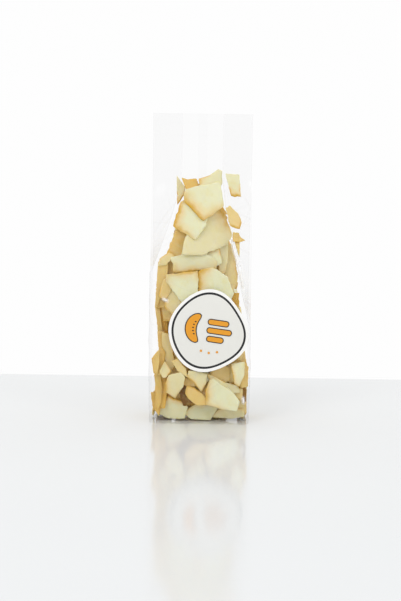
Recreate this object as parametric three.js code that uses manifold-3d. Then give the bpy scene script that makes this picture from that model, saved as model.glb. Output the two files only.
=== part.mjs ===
// A clear block-bottom bag of dried melon slices that stands on its base, with a round paper label
// on its front. Millimetres, +Z up, the label faces -Y, and the origin is under the middle of the base.
//
// The bag is folded from one tube of film: a front and a back panel, and a side gusset on the left and
// on the right, each creased along its middle. Below its shoulder a gusset is pushed out flat by the
// filling. Above it the gusset folds inwards, and the panels close into a flat, sealed header.
// The slices that lie against the film stand out of the filling as plates of their true size.

import * as THREE from "three";
import { mergeVertices } from "three/addons/utils/BufferGeometryUtils.js";
import Module from "manifold-3d";

const wasm = await Module();
wasm.setup();

// The bag
const BAG_WIDTH = 100;
const BAG_DEPTH = 60;
const BAG_HEIGHT = 310;
const HEADER_START = 260; // the film lies flat above this height
const SHOULDER_LEFT = 150; // each gusset is open below its shoulder
const SHOULDER_RIGHT = 95;
const TAPER_POWER = 2.1; // how late the wedge between shoulder and header closes
const PANEL_BULGE = 2.5; // how far the filling pushes a panel out at its middle
const SIDE_BULGE = 1.5;
const BASE_ROUND = 2.5; // height and inset of the soft edge round the base
const BULGE_START = 22; // the bulge grows over this height from the base

// The filling between the slices that touch the film
const FILLING_SUNK = 2.4; // how far it lies behind the film
const CRUMPLE = 1.4; // how uneven it is
const CORNER_CRUMPLE = 0.4;
const EASED_DEPTH = 25; // both grow less where the wedge is thinner than this
const LEVEL_STEP = 12;
const PANEL_STEPS = 8;
const GUSSET_STEPS = 3; // on each side of the gusset's crease

// The header and the seam
const HEADER_THICKNESS = 1.2;
const FOLDED_THICKNESS = 1.6; // where the gussets lie folded between the panels
const SEAL_THICKNESS = 2.2;
const SEAL_LINES = [286.5, 299];
const SEAL_LINE_HEIGHT = 1.2;
const SEAM_WIDTH = 9;
const SEAM_PROUD = 0.35;
const SEAM_ROOT = 4;

// The slices
const SLICE_BODY = 4.5; // how deep a plate reaches into the filling
const THIN_SLICE = 0.8; // what is left of that between a panel and a folded gusset
const FOLD_CLEAR = 0.8; // from such a slice to the gusset behind it
const OVERLAP_STEP = 0.5; // how much lower each slice lies that is tucked under another
const DEEPEST_OVERLAPS = 3;
const TUCKED_UNDER = 2.5; // slices whose spans share less than this lie side by side
const UNDER_FILM = 0.15;
const SKINNIEST = 0.35; // of a side slice's width, the least that stays beside a gusset's fold

// The label
const LABEL_RADIUS = 39.9;
const LABEL_CENTRE = { x: 7.9, z: 94.5 };
const LABEL_LOBES = [
  { count: 2, peak: 90, share: 0.018 },
  { count: 3, peak: 100, share: 0.027 },
  { count: 4, peak: 77, share: 0.028 },
];
const LABEL_GAP = 0.35; // from the film to the paper's back
const LABEL_THICKNESS = 0.5;
const LABEL_SPOKES = 48;
const LABEL_RINGS = 3;

// The slices against the front, from the top of the stack down: the corners of each as seen from the
// front, across and up.
const FRONT_SLICES = [
  [[23, 251], [37, 250], [39, 228], [29, 228]],
  [[-16, 234], [14, 242], [19, 239], [22, 218], [2, 203], [-16, 223]],
  [[-4, 245], [6, 248], [16, 255], [20, 253], [20, 241], [-1, 237]],
  [[-21, 247], [-15, 244], [-6, 245], [-4, 239], [-8, 236], [-16, 235]],
  [[-21, 222], [3, 203], [4, 198], [-6, 184], [-29, 198]],
  [[-2, 209], [17, 219], [22, 212], [31, 191], [27, 180], [1, 169], [-21, 169], [-16, 187]],
  [[-30, 167], [6, 169], [17, 162], [16, 156], [-27, 151]],
  [[-33, 50], [-19, 52], [-13, 46], [-16, 36], [-24, 27], [-34, 33]],
  [[5, 30], [6, 42], [13, 47], [23, 44], [41, 24], [39, 13], [9, 20]],
  [[32, 62], [45, 66], [45, 52], [42, 40], [34, 41]],
  [[-34, 150], [-4, 154], [-3, 126], [-18, 122], [-35, 143]],
  [[-2, 154], [8, 157], [16, 155], [27, 148], [33, 132], [30, 122], [-1, 122]],
  [[22, 217], [27, 219], [37, 210], [40, 202], [38, 196], [24, 199]],
  [[29, 193], [37, 192], [39, 188], [44, 185], [38, 183], [30, 183]],
  [[-35, 64], [-28, 54], [-33, 47], [-37, 47], [-40, 53]],
  [[-28, 64], [-22, 67], [-8, 54], [-4, 45], [-14, 51], [-22, 54]],
  [[-12, 56], [6, 53], [7, 40], [2, 31]],
  [[-48, 66], [-41, 76], [-33, 74], [-34, 60], [-39, 51], [-45, 50]],
  [[-47, 49], [-43, 54], [-34, 50], [-32, 31], [-36, 12], [-43, 17], [-44, 40]],
  [[-49, 31], [-43, 29], [-37, 23], [-40, 5], [-47, 15]],
  [[-38, 93], [-31, 91], [-27, 76], [-24, 59], [-29, 51], [-35, 64], [-38, 80]],
  [[-33, 92], [-24, 82], [-19, 67], [-25, 55], [-31, 74]],
  [[-38, 144], [-34, 147], [-29, 134], [-32, 128], [-36, 124], [-42, 128]],
  [[-33, 142], [-15, 127], [-25, 108], [-36, 116]],
  [[-31, 173], [-26, 168], [-35, 159], [-43, 158], [-41, 166]],
  [[-43, 163], [-33, 163], [-33, 148], [-38, 132], [-44, 113], [-46, 115], [-45, 126]],
  [[-45, 130], [-37, 130], [-30, 124], [-33, 117], [-44, 114]],
  [[-40, 121], [-33, 121], [-26, 112], [-28, 101], [-37, 102]],
  [[-46, 117], [-41, 117], [-39, 100], [-36, 82], [-41, 76], [-44, 103]],
  [[-44, 118], [-37, 118], [-33, 103], [-32, 87], [-40, 86], [-43, 109]],
  [[-36, 106], [-28, 104], [-28, 88], [-35, 83]],
  [[-24, 196], [-12, 190], [-15, 165], [-29, 164], [-34, 171], [-31, 181]],
  [[-38, 167], [-26, 168], [-26, 146], [-38, 143]],
  [[24, 52], [31, 60], [36, 39], [30, 36], [23, 42]],
  [[14, 56], [25, 62], [30, 61], [25, 43], [16, 47]],
  [[2, 53], [13, 55], [26, 47], [22, 38], [13, 42], [4, 40]],
  [[-12, 36], [-6, 41], [0, 37], [7, 23], [-4, 20], [-12, 25]],
  [[-21, 45], [-8, 48], [-1, 40], [-3, 20], [-18, 18], [-22, 30]],
  [[22, 43], [43, 42], [43, 31], [33, 29]],
  [[24, 38], [35, 35], [44, 35], [44, 24], [31, 25]],
  [[43, 66], [49, 58], [49, 38], [41, 37], [43, 52]],
  [[42, 38], [46, 39], [48, 33], [48, 21], [44, 21], [42, 29]],
  [[6, 171], [17, 176], [19, 162]],
  [[17, 177], [27, 179], [27, 165], [24, 150], [19, 150]],
  [[24, 180], [32, 177], [37, 150], [37, 142], [31, 128], [24, 146]],
  [[33, 183], [38, 183], [38, 167]],
  [[-26, 248], [-17, 236], [-18, 229], [-25, 218]],
  [[-46, 14], [-34, 25], [-18, 21], [-12, 7], [-30, 2]],
  [[-17, 9], [-2, 20], [22, 18], [12, 1], [-8, 2]],
  [[11, 4], [24, 16], [45, 13], [47, 5], [33, 2]],
  [[37, 24], [47, 29], [49, 8], [39, 9]],
];

// The slices against the back and the sides lie in uneven rows.
const BACK_ROWS = { first: 15, step: 27, rows: 9, columns: 3, spacing: 31, seed: 11 };
const SIDE_ROWS = { first: 15, step: 25, columns: 1, spacing: 0, seed: 37 };
const ROW_SLICE = { wide: 31, tall: 27, spread: 0.45, shift: 9, turn: 38 };

const smooth = (t) => {
  const s = THREE.MathUtils.clamp(t, 0, 1);
  return s * s * (3 - 2 * s);
};

// The same number between 0 and 1 each time for the same two numbers.
const scattered = (a, b) => {
  const s = Math.sin(a * 12.9898 + b * 78.233) * 43758.5453;
  return s - Math.floor(s);
};

// The distance between the front and back creases on the side whose gusset opens at the shoulder.
function creaseDepth(z, shoulder) {
  const t = THREE.MathUtils.clamp((z - shoulder) / (HEADER_START - shoulder), 0, 1);
  return FOLDED_THICKNESS + (BAG_DEPTH - FOLDED_THICKNESS) * (1 - t ** TAPER_POWER);
}

// How far a gusset's middle crease lies in from the bag's side. The film doesn't stretch.
function foldedIn(depth) {
  return Math.sqrt(Math.max(0, (BAG_DEPTH / 2) ** 2 - (depth / 2) ** 2));
}

const bulgeShare = (z, depth) => smooth(z / BULGE_START) * (depth / BAG_DEPTH) ** 2;

// Half the bag's depth at a place on a panel: the film is at -y of this in front and +y behind.
function panelDepth(x, z) {
  const share = x / BAG_WIDTH + 0.5;
  const depth = THREE.MathUtils.lerp(creaseDepth(z, SHOULDER_LEFT), creaseDepth(z, SHOULDER_RIGHT), share);
  const across = 1 - (2 * x / BAG_WIDTH) ** 2;
  return depth / 2 + PANEL_BULGE * across * bulgeShare(z, depth);
}

// The distance from the bag's middle plane to a gusset at a place on it.
function gussetReach(y, z, shoulder) {
  const depth = creaseDepth(z, shoulder);
  const across = THREE.MathUtils.clamp(1 - Math.abs(2 * y) / depth, 0, 1);
  const folded = foldedIn(depth);
  const flat = 1 - smooth(folded / SIDE_BULGE);
  const bulge = SIDE_BULGE * flat * smooth(z / BULGE_START) * (1 - (1 - across) ** 2);
  return BAG_WIDTH / 2 - folded * across + bulge;
}

// How far it is from a panel to a folded gusset behind it, or to the middle plane where there is none.
function roomBehind(x, z) {
  const depth = creaseDepth(z, x < 0 ? SHOULDER_LEFT : SHOULDER_RIGHT);
  const folded = foldedIn(depth);
  const over = Math.abs(x) - (BAG_WIDTH / 2 - folded);
  return panelDepth(x, z) - (over > 0 ? (depth / 2) * (over / folded) : 0);
}

// The heights of the filling's outlines. The last one reaches just into the header.
const levels = [0, BASE_ROUND];
for (let z = LEVEL_STEP; z < HEADER_START; z += LEVEL_STEP) levels.push(z);
levels.push(HEADER_START + FOLDED_THICKNESS);

// The outline of the filling at one height, anticlockwise from the front left crease.
function fillingOutline(z, level) {
  const points = [];
  const inset = BASE_ROUND * (1 - smooth(z / BASE_ROUND));
  const loose = z < HEADER_START ? Math.min(1, creaseDepth(z, SHOULDER_RIGHT) / EASED_DEPTH) : 0;
  const sunk = (share) => inset + loose * FILLING_SUNK * Math.sin(Math.PI * share) ** 0.5;
  const noise = (step) => (level ? loose * CRUMPLE * (scattered(step, level) - 0.5) : 0);
  const panel = (side) => {
    for (let i = 0; i < PANEL_STEPS; i++) {
      const share = i / PANEL_STEPS;
      const x = side * (share - 0.5) * (BAG_WIDTH - 2 * inset);
      const depth = panelDepth(x, z) - sunk(share) + (i ? noise(i + 20 * side) : 0);
      points.push([x, -side * depth]);
    }
  };
  const gusset = (side, shoulder) => {
    const depth = creaseDepth(z, shoulder) - 2 * inset;
    for (let i = 0; i < 2 * GUSSET_STEPS; i++) {
      const share = i / (2 * GUSSET_STEPS);
      const y = side * (share - 0.5) * depth;
      const corner = inset + loose * CORNER_CRUMPLE * scattered(level, side);
      const sinking = i ? sunk(share) + noise(i + 40 * side) : corner;
      points.push([side * (gussetReach(y, z, shoulder) - sinking), y]);
    }
  };
  panel(1);
  gusset(1, SHOULDER_RIGHT);
  panel(-1);
  gusset(-1, SHOULDER_LEFT);
  return points.map(([x, y]) => new THREE.Vector3(x, y, z));
}

// A closed solid through a stack of outlines that all have the same number of points.
function loft(outlines) {
  const n = outlines[0].length;
  const middle = (outline) =>
    outline.reduce((sum, p) => sum.add(p), new THREE.Vector3()).divideScalar(outline.length);
  const last = outlines.length - 1;
  const points = [...outlines.flat(), middle(outlines[0]), middle(outlines[last])];
  const foot = outlines.length * n;
  const faces = [];
  for (let k = 0; k < last; k++) {
    for (let i = 0; i < n; i++) {
      const a = k * n + i;
      const b = k * n + ((i + 1) % n);
      if ((k + i) % 2) faces.push(a, b, b + n, a, b + n, a + n);
      else faces.push(a, b, a + n, b, b + n, a + n);
    }
  }
  for (let i = 0; i < n; i++) {
    const j = (i + 1) % n;
    faces.push(foot, j, i, foot + 1, last * n + i, last * n + j);
  }
  return new THREE.BufferGeometry().setFromPoints(points).setIndex(faces);
}

function solid(geometry) {
  const bare = geometry.clone();
  bare.deleteAttribute("normal");
  bare.deleteAttribute("uv");
  const merged = mergeVertices(bare, 1e-4);
  const vertProperties = merged.attributes.position.array;
  const triVerts = new Uint32Array(merged.index.array);
  return new wasm.Manifold(new wasm.Mesh({ numProp: 3, vertProperties, triVerts }));
}

// The four faces of the bag. across runs to the right as each face is looked at.
const FACES = {
  front: (across, z) => new THREE.Vector3(across, -panelDepth(across, z), z),
  back: (across, z) => new THREE.Vector3(-across, panelDepth(-across, z), z),
  right: (across, z) => new THREE.Vector3(gussetReach(across, z, SHOULDER_RIGHT), across, z),
  left: (across, z) => new THREE.Vector3(-gussetReach(across, z, SHOULDER_LEFT), -across, z),
};

// The directions across, upwards and outwards at a place on a face.
function directionsAt(face, across, z) {
  const near = 1;
  const sideways = face(across + near, z).sub(face(across - near, z)).normalize();
  const upright = face(across, z + near).sub(face(across, z - near)).normalize();
  const outward = sideways.clone().cross(upright).normalize();
  return { sideways, upright: outward.clone().cross(sideways), outward };
}

// A slice of the front: its middle, and its outline about that, cut so that it shows the given corners.
function frontSlice(corners) {
  const middle = new THREE.Vector2();
  for (const corner of corners) middle.add(new THREE.Vector2(...corner).divideScalar(corners.length));
  const { sideways, upright } = directionsAt(FACES.front, middle.x, middle.y);
  const area = sideways.x * upright.z - upright.x * sideways.z;
  const outline = corners.map(([x, z]) => {
    const [right, up] = [x - middle.x, z - middle.y];
    return new THREE.Vector2(
      (right * upright.z - up * upright.x) / area,
      (up * sideways.x - right * sideways.z) / area,
    );
  });
  return { x: middle.x, z: middle.y, outline };
}

// The outline of a slice about its own middle, as it comes from the knife.
function cutOutline({ wide, tall, corners, turn, lean }) {
  const start = Math.PI / 2 + (corners % 2 ? 0 : Math.PI / corners);
  const raw = [];
  for (let i = 0; i < corners; i++) {
    const angle = start + (2 * Math.PI * i) / corners;
    raw.push(new THREE.Vector2(Math.cos(angle), Math.sin(angle)));
  }
  const reach = (axis) => Math.max(...raw.map((p) => Math.abs(p[axis])));
  const [reachX, reachY] = [reach("x"), reach("y")];
  return raw.map((p) => {
    const tipped = new THREE.Vector2((p.x / reachX) * (wide / 2), (p.y / reachY) * (tall / 2));
    tipped.x += lean * (tipped.y / tall);
    return tipped.rotateAround(new THREE.Vector2(), THREE.MathUtils.degToRad(turn));
  });
}

// A slice's plate, flat against the inside of the film, under so many others.
function slicePlate(face, { x, z, outline }, overlaps, onPanel) {
  const { sideways, upright, outward } = directionsAt(face, x, z);
  const middle = face(x, z);
  const clear = (p) => {
    const corner = middle.clone().addScaledVector(sideways, p.x).addScaledVector(upright, p.y);
    return face(x + p.x, corner.z).sub(corner).dot(outward);
  };
  const lift = Math.min(0, ...outline.map(clear)) - UNDER_FILM - OVERLAP_STEP * overlaps;
  const room = onPanel ? Math.min(...outline.map((p) => roomBehind(x + p.x, z + p.y))) : SLICE_BODY;
  const depth = THREE.MathUtils.clamp(room + lift - FOLD_CLEAR, THIN_SLICE, SLICE_BODY);
  const plate = new THREE.ExtrudeGeometry(new THREE.Shape(outline), { depth, bevelEnabled: false });
  plate.translate(0, 0, lift - depth);
  plate.applyMatrix4(new THREE.Matrix4().makeBasis(sideways, upright, outward).setPosition(middle));
  return solid(plate);
}

// All the plates on one face. A slice is lowered by each earlier one that it is tucked under.
function facePlates(face, slices) {
  const onPanel = face === FACES.front || face === FACES.back;
  const spans = slices.map(({ x, z, outline }) =>
    new THREE.Box2().setFromPoints(outline).translate(new THREE.Vector2(x, z)),
  );
  const overlap = (a, b) => {
    const shared = a.clone().intersect(b).getSize(new THREE.Vector2());
    return Math.min(shared.x, shared.y) > TUCKED_UNDER;
  };
  return slices.map((slice, i) => {
    const above = spans.slice(0, i).filter((other) => overlap(spans[i], other)).length;
    return slicePlate(face, slice, Math.min(above, DEEPEST_OVERLAPS), onPanel);
  });
}

// Rows of slices of uneven size and turn, up to a height, as wide as the gussets leave.
function rowSlices({ first, step, rows, columns, spacing, seed }, room) {
  const slices = [];
  for (let row = 0; row < rows; row++) {
    for (let column = 0; column < columns; column++) {
      const chance = (n) => scattered(seed + row * columns + column, n);
      const size = 1 - ROW_SLICE.spread * chance(1);
      const x = (column - (columns - 1) / 2) * spacing + ROW_SLICE.shift * (chance(2) - 0.5);
      const z = first + step * row + ROW_SLICE.shift * (chance(3) - 0.5) * (row ? 1 : 0);
      const wide = Math.min(ROW_SLICE.wide * size, 2 * (room(z) - Math.abs(x)));
      if (wide < SKINNIEST * ROW_SLICE.wide) continue;
      const tall = ROW_SLICE.tall * (1 - ROW_SLICE.spread * chance(4));
      const corners = 4 + Math.floor(3 * chance(5));
      const turn = ROW_SLICE.turn * (2 * chance(6) - 1);
      const lean = 6 * (chance(7) - 0.5);
      slices.push({ x, z, outline: cutOutline({ wide, tall, corners, turn, lean }) });
    }
  }
  return slices;
}

function backSlices() {
  const room = (z) => BAG_WIDTH / 2 - foldedIn(creaseDepth(z + ROW_SLICE.tall / 2, SHOULDER_RIGHT)) + 3;
  return rowSlices(BACK_ROWS, room);
}

function sideSlices(shoulder, seed) {
  const rows = Math.floor((shoulder - SIDE_ROWS.first) / SIDE_ROWS.step) + 1;
  return rowSlices({ ...SIDE_ROWS, rows, seed }, () => BAG_DEPTH / 2);
}

function box(width, depth, height, z) {
  return solid(new THREE.BoxGeometry(width, depth, height).translate(0, 0, z + height / 2));
}

// The flat top of the bag: two panels, thicker where the gussets lie folded between them, pressed
// together along the lines of the heat seal.
function header() {
  const gusset = BAG_DEPTH / 2;
  const tall = BAG_HEIGHT - HEADER_START;
  const foldedAt = (side) =>
    solid(
      new THREE.BoxGeometry(gusset, FOLDED_THICKNESS, tall).translate(
        (side * (BAG_WIDTH - gusset)) / 2,
        0,
        HEADER_START + tall / 2,
      ),
    );
  const seals = SEAL_LINES.map((z) => box(BAG_WIDTH, SEAL_THICKNESS, SEAL_LINE_HEIGHT, z));
  return [box(BAG_WIDTH, HEADER_THICKNESS, tall, HEADER_START), foldedAt(-1), foldedAt(1), ...seals];
}

// The lap seam up the back panel, where the tube of film is joined.
function backSeam() {
  const outlines = [...levels.slice(1, -1), HEADER_START, BAG_HEIGHT].map((z) => {
    const film = Math.max(panelDepth(0, z), FOLDED_THICKNESS / 2);
    const root = Math.max(film - SEAM_ROOT, 0);
    const half = SEAM_WIDTH / 2;
    const corners = [[-half, root], [half, root], [half, film + SEAM_PROUD], [-half, film + SEAM_PROUD]];
    return corners.map(([x, y]) => new THREE.Vector3(x, y, z));
  });
  return solid(loft(outlines));
}

function bagGeometry() {
  const filling = solid(loft(levels.map(fillingOutline)));
  const plates = [
    ...facePlates(FACES.front, FRONT_SLICES.map(frontSlice)),
    ...facePlates(FACES.back, backSlices()),
    ...facePlates(FACES.right, sideSlices(SHOULDER_RIGHT, SIDE_ROWS.seed)),
    ...facePlates(FACES.left, sideSlices(SHOULDER_LEFT, SIDE_ROWS.seed + 20)),
  ];
  const room = box(BAG_WIDTH * 2, BAG_DEPTH * 2, BAG_HEIGHT, 0);
  const whole = wasm.Manifold.union([filling, ...plates, ...header(), backSeam()]).intersect(room);
  return geometryOf(whole);
}

function geometryOf(manifold) {
  const mesh = manifold.getMesh();
  const position = new THREE.BufferAttribute(Float32Array.from(mesh.vertProperties), 3);
  return new THREE.BufferGeometry()
    .setAttribute("position", position)
    .setIndex(new THREE.BufferAttribute(Uint32Array.from(mesh.triVerts), 1));
}

// The label's outline is a softly irregular round.
function labelRadius(angle) {
  const lobe = ({ count, peak, share }) => share * Math.cos(count * (angle - THREE.MathUtils.degToRad(peak)));
  return LABEL_RADIUS * LABEL_LOBES.reduce((sum, each) => sum + lobe(each), 1);
}

// A thin sheet that follows the front film.
function labelGeometry() {
  const sheet = (lift) => {
    const at = (radius, angle) => {
      const x = LABEL_CENTRE.x + radius * Math.cos(angle);
      const z = LABEL_CENTRE.z + radius * Math.sin(angle);
      return new THREE.Vector3(x, -panelDepth(x, z) - lift, z);
    };
    const points = [at(0, 0)];
    for (let ring = 1; ring <= LABEL_RINGS; ring++) {
      for (let i = 0; i < LABEL_SPOKES; i++) {
        const angle = (2 * Math.PI * i) / LABEL_SPOKES;
        points.push(at((labelRadius(angle) * ring) / LABEL_RINGS, angle));
      }
    }
    return points;
  };
  const points = [...sheet(LABEL_GAP + LABEL_THICKNESS), ...sheet(LABEL_GAP)];
  const behind = points.length / 2;
  const faces = [];
  const both = (a, b, c) => faces.push(a, b, c, behind + a, behind + c, behind + b);
  for (let i = 0; i < LABEL_SPOKES; i++) {
    const j = (i + 1) % LABEL_SPOKES;
    both(0, 1 + i, 1 + j);
    for (let ring = 0; ring < LABEL_RINGS - 1; ring++) {
      const a = 1 + ring * LABEL_SPOKES;
      both(a + i, a + LABEL_SPOKES + i, a + LABEL_SPOKES + j);
      both(a + i, a + LABEL_SPOKES + j, a + j);
    }
    const rim = 1 + (LABEL_RINGS - 1) * LABEL_SPOKES;
    faces.push(rim + i, behind + rim + i, behind + rim + j, rim + i, behind + rim + j, rim + j);
  }
  return new THREE.BufferGeometry().setFromPoints(points).setIndex(faces);
}

const driedMelon = new THREE.MeshStandardMaterial({ color: 0xe3d6a4, roughness: 0.55, metalness: 0 });
const labelPaper = new THREE.MeshStandardMaterial({ color: 0xf4f2ee, roughness: 0.45, metalness: 0 });

const bag = new THREE.Mesh(bagGeometry(), driedMelon);
bag.name = "bag";
const label = new THREE.Mesh(labelGeometry(), labelPaper);
label.name = "label";

// The origin lies under the middle of the whole, label and seam included.
const pack = new THREE.Group();
pack.add(bag, label);
const extent = new THREE.Box3().setFromObject(pack);
const centre = extent.getCenter(new THREE.Vector3());
pack.position.set(-centre.x, -centre.y, 0);

export default pack;
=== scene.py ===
import math

import bpy
import numpy as np
from mathutils import Matrix, Vector


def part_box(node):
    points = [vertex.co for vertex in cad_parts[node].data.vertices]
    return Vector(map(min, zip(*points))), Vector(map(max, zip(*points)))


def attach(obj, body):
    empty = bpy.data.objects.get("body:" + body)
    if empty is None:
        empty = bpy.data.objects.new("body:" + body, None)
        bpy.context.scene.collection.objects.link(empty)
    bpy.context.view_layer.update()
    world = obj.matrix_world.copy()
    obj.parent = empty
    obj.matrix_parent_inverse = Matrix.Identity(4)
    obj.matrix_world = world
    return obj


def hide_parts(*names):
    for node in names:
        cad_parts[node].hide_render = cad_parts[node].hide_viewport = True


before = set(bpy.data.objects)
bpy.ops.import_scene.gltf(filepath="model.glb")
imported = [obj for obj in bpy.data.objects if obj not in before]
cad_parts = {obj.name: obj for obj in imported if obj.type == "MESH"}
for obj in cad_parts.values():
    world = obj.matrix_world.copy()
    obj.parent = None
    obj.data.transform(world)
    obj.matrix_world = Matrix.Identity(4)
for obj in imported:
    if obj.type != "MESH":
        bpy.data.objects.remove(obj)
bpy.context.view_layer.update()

# The film bag
# One sheet of clear cast polypropylene, 0.03 mm thick, wrapped into a tube that is lapped and sealed up the
# back. It is creased at four corners and along the middle of both gussets, filled, and then pressed flat
# and sealed across the top. Sizes are in millimetres.
MM = 0.001
BAG_WIDTH = 100.0
BAG_DEPTH = 60.0
BAG_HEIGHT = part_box("bag")[1].z / MM
HEADER_START = 260.0
SHOULDER_LEFT = 150.0
SHOULDER_RIGHT = 95.0
TAPER_POWER = 2.1
FOLDED_THICKNESS = 1.6
PANEL_BULGE = 2.5
SIDE_BULGE = 1.5
BULGE_START = 22.0
BASE_ROUND = 2.5
BASE_DRAWN_IN = 0.6
LAP = 9.0
LAP_PROUD = 0.35
LAP_EASE = 1.5
SEAL_LINES = {277.5: 0.12, 286.5: 0.3, 299.0: 0.3}
SEAL_LINE_WIDTH = 1.3
SEAL_FADE = 10.0
SHARP_FROM = math.radians(35)
MIDDLE_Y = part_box("bag")[1].y / MM - BAG_DEPTH / 2 - PANEL_BULGE - LAP_PROUD

# The creases' places round the bag, anticlockwise from the lap, and the columns and rows of the grid there.
GUSSET = BAG_DEPTH / 2
HALF_BACK = (BAG_WIDTH + LAP) / 2
ROUND_THE_BAG = np.cumsum([0, HALF_BACK, GUSSET, GUSSET, BAG_WIDTH, GUSSET, GUSSET, HALF_BACK])
COLUMNS_AT = [0, 40, 64, 88, 160, 184, 208, 248]
UP_THE_BAG = [0.4, 6.0, HEADER_START, BAG_HEIGHT]
ROWS_AT = [0, 4, 194, 230]


def smooth(t):
    s = np.clip(t, 0, 1)
    return s * s * (3 - 2 * s)


def crease_depth(z, shoulder):
    """The distance between the front and back creases on the side whose gusset opens at the shoulder."""
    t = np.clip((z - shoulder) / (HEADER_START - shoulder), 0, 1)
    return FOLDED_THICKNESS + (BAG_DEPTH - FOLDED_THICKNESS) * (1 - t**TAPER_POWER)


def folded_in(depth):
    """How far a gusset's middle crease lies in from the bag's side."""
    return np.sqrt(np.maximum(0, GUSSET**2 - (depth / 2) ** 2))


def panel_depth(x, z):
    """Half the bag's depth at a place on its front or back."""
    share = x / BAG_WIDTH + 0.5
    left, right = crease_depth(z, SHOULDER_LEFT), crease_depth(z, SHOULDER_RIGHT)
    depth = left + (right - left) * share
    bulge = PANEL_BULGE * (1 - (2 * x / BAG_WIDTH) ** 2)
    return depth / 2 + bulge * (smooth(z / BULGE_START) * (depth / BAG_DEPTH) ** 2)


def gusset_reach(y, z, shoulder):
    """The distance from the bag's middle to a gusset at a place on it."""
    depth = crease_depth(z, shoulder)
    across = np.clip(1 - np.abs(2 * y) / depth, 0, 1)
    folded = folded_in(depth)
    flat = 1 - smooth(folded / SIDE_BULGE)
    bulge = SIDE_BULGE * flat * smooth(z / BULGE_START) * (1 - (1 - across) ** 2)
    return BAG_WIDTH / 2 - folded * across + bulge


def film_place(around, z):
    """Where the smooth film lies, at a distance round the bag from its lap."""
    back_left, crease_left, front_left, front_right, crease_right, back_right = ROUND_THE_BAG[1:-1]
    x_back_left = LAP / 2 - around
    x_front = around - front_left - BAG_WIDTH / 2
    x_back_right = BAG_WIDTH / 2 - (around - back_right)
    y_left = crease_depth(z, SHOULDER_LEFT) / 2 * (crease_left - around) / GUSSET
    y_right = crease_depth(z, SHOULDER_RIGHT) / 2 * (around - crease_right) / GUSSET
    x_left, x_right = -gusset_reach(y_left, z, SHOULDER_LEFT), gusset_reach(y_right, z, SHOULDER_RIGHT)
    y_back_left, y_front = panel_depth(x_back_left, z), -panel_depth(x_front, z)
    lap = LAP_PROUD * smooth((LAP / 2 + LAP_EASE - x_back_right) / LAP_EASE)
    stretches = [around < back_left, around < front_left, around < front_right, around < back_right]
    x = np.select(stretches, [x_back_left, x_left, x_front, x_right], x_back_right)
    y = np.select(stretches, [y_back_left, y_left, y_front, y_right], panel_depth(x_back_right, z) + lap)
    inset = 1 - BASE_DRAWN_IN * BASE_ROUND / GUSSET * (1 - smooth(z / BASE_ROUND))
    return x * (1 + (inset - 1) * GUSSET * 2 / BAG_WIDTH), y * inset


# Handling has left small dents with sharp ridges. A painted highlight lies along the ridges and along the
# creases, more on the gussets' middle creases above their shoulders, and along a few lines on the front: the
# film is made faintly whiter there, standing for lamps shining in its folds. Under the label the dents are a
# tenth as high, and none are in the sealed top.
DENTS = 90
DENT_LENGTHS = (12, 45)
DENT_HEIGHTS = (0.15, 0.7)
DENT_WIDTHS = (3, 7)
DENTED_UP_TO = 225.0
DENTS_FADE = 25.0
CORNER_STIFFNESS = 5.0
UNDER_LABEL = 0.1
HIGHLIGHT_WIDTH = 0.9
HIGHLIGHT_FADE = 12.0
CRUMPLE_HIGHLIGHT = 0.1
GUSSET_HIGHLIGHT = 0.08
CORNER_HIGHLIGHT = 0.03
LABEL_CENTRE = (7.9, 94.5)
LABEL_FLAT = 46.0
STREAK_WIDTH = 1.2
STREAK_END = 2.0
# Painted glints: lines on the front where the film is made whiter, standing for lamps shining in its folds.
FRONT_GLINT_STREAKS = [
    ((31, 182), (38, 158)),
    ((38, 158), (43, 137)),
    ((-36, 126), (-34, 125)),
    ((44, 27), (44.5, 24)),
]
film_random = np.random.default_rng(7)


def crumpled(around, z):
    """How far handling has pushed the film outwards, and how much painted highlight lies along its sharp
    ridges.
    """
    total, painted_highlight = np.zeros_like(around), np.zeros_like(around)
    for _ in range(DENTS):
        s0, z0 = film_random.uniform(0, ROUND_THE_BAG[-1]), film_random.uniform(8, HEADER_START)
        heading, length = film_random.uniform(0, math.pi), film_random.uniform(*DENT_LENGTHS)
        height, width = film_random.uniform(*DENT_HEIGHTS), film_random.uniform(*DENT_WIDTHS)
        ds, dz = around - s0, z - z0
        along = ds * math.cos(heading) + dz * math.sin(heading)
        beside = np.abs(-ds * math.sin(heading) + dz * math.cos(heading))
        ends = smooth(1.4 * (1 - np.abs(along) / length))
        total += height * np.clip(1 - beside / width, 0, 1) * ends
        painted_highlight += CRUMPLE_HIGHLIGHT * height * np.exp(-((beside / HIGHLIGHT_WIDTH) ** 2)) * ends
    return total, painted_highlight


def near_streak(x, z, start, end):
    """1 on the line between two places on the front, and less beside it and past its ends."""
    start, end = np.array(start), np.array(end)
    length = np.linalg.norm(end - start)
    along_x, along_z = (end - start) / length
    along = (x - start[0]) * along_x + (z - start[1]) * along_z
    beside = (z - start[1]) * along_x - (x - start[0]) * along_z
    past = np.maximum(np.abs(along - length / 2) - length / 2, 0)
    return np.exp(-((beside / STREAK_WIDTH) ** 2) - (past / STREAK_END) ** 2)


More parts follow.
